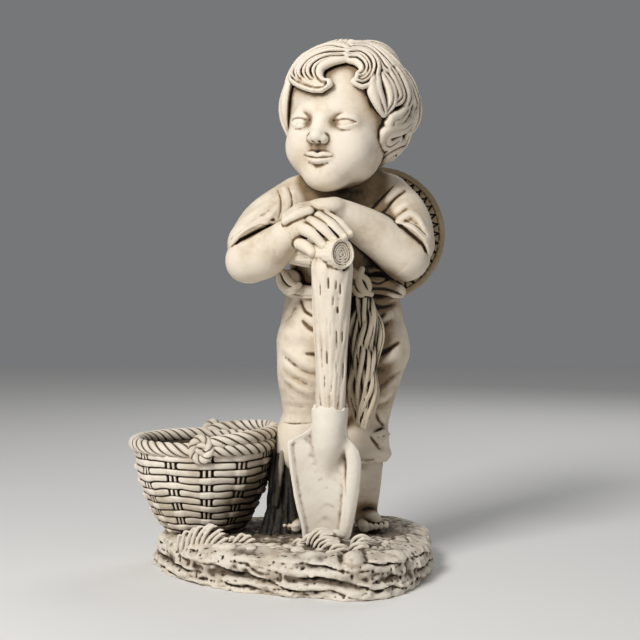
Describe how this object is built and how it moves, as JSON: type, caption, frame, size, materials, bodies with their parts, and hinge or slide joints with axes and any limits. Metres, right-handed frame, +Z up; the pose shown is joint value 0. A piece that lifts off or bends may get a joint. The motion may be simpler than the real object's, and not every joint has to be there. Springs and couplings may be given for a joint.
{
  "type": "boy statue planter",
  "caption": "Cast stone garden statue of a boy who leans on a spade, with an open woven basket at his side that holds a plant.",
  "frame": {"origin": "on the flat underside, below the middle of the base, where the statue stands on the ground", "axes": "+Z up, -Y the way the boy faces, -X towards the basket at his right hand"},
  "size_m": [0.2992, 0.239, 0.4816],
  "materials": {
    "cast_stone": "matt, with a dark wash in the hollows"
  },
  "bodies": {
    "root": {"boy_planter": "cast_stone"}
  },
  "joints": []
}
